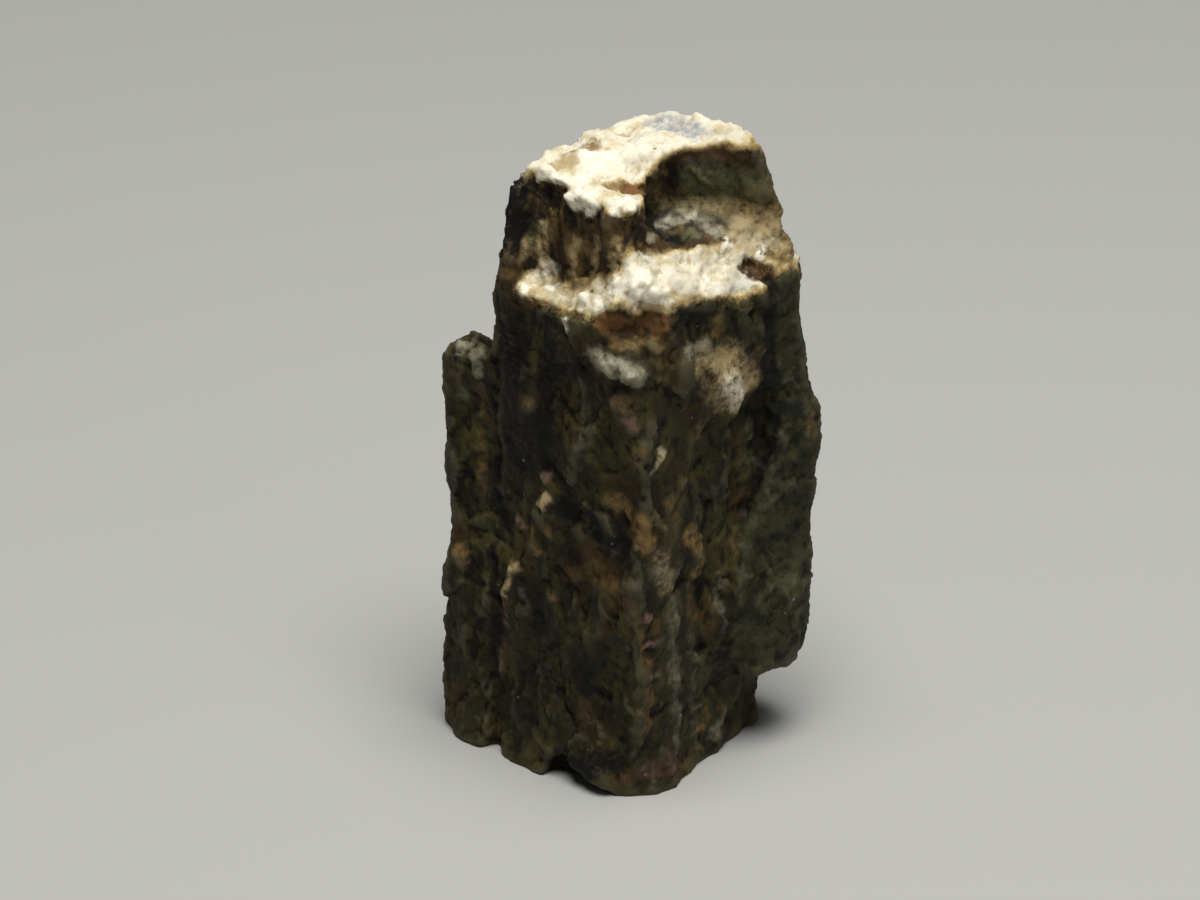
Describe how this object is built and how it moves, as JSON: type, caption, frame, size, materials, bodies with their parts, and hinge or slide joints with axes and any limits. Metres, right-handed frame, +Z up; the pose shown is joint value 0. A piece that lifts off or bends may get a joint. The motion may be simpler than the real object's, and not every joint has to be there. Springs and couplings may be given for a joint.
{
  "type": "chiastolite crystal",
  "caption": "Loose chiastolite crystal standing upright: a squarish prism with a thinner one grown along it, a pale stepped break on top and a dark schist crust.",
  "frame": {"origin": "on the surface the crystal stands on, under the middle of its bounding box", "axes": "+Z up along the crystal; +X along the right face and +Y along the left face as seen from the front edge, both away from that edge"},
  "size_m": [0.0208, 0.0242, 0.0502],
  "materials": {
    "stone": "natural stone: dull dark olive-brown andalusite and mica schist with rusty stains, cream to white where the top is broken"
  },
  "bodies": {
    "root": {"chiastolite_crystal": "stone"}
  },
  "joints": []
}
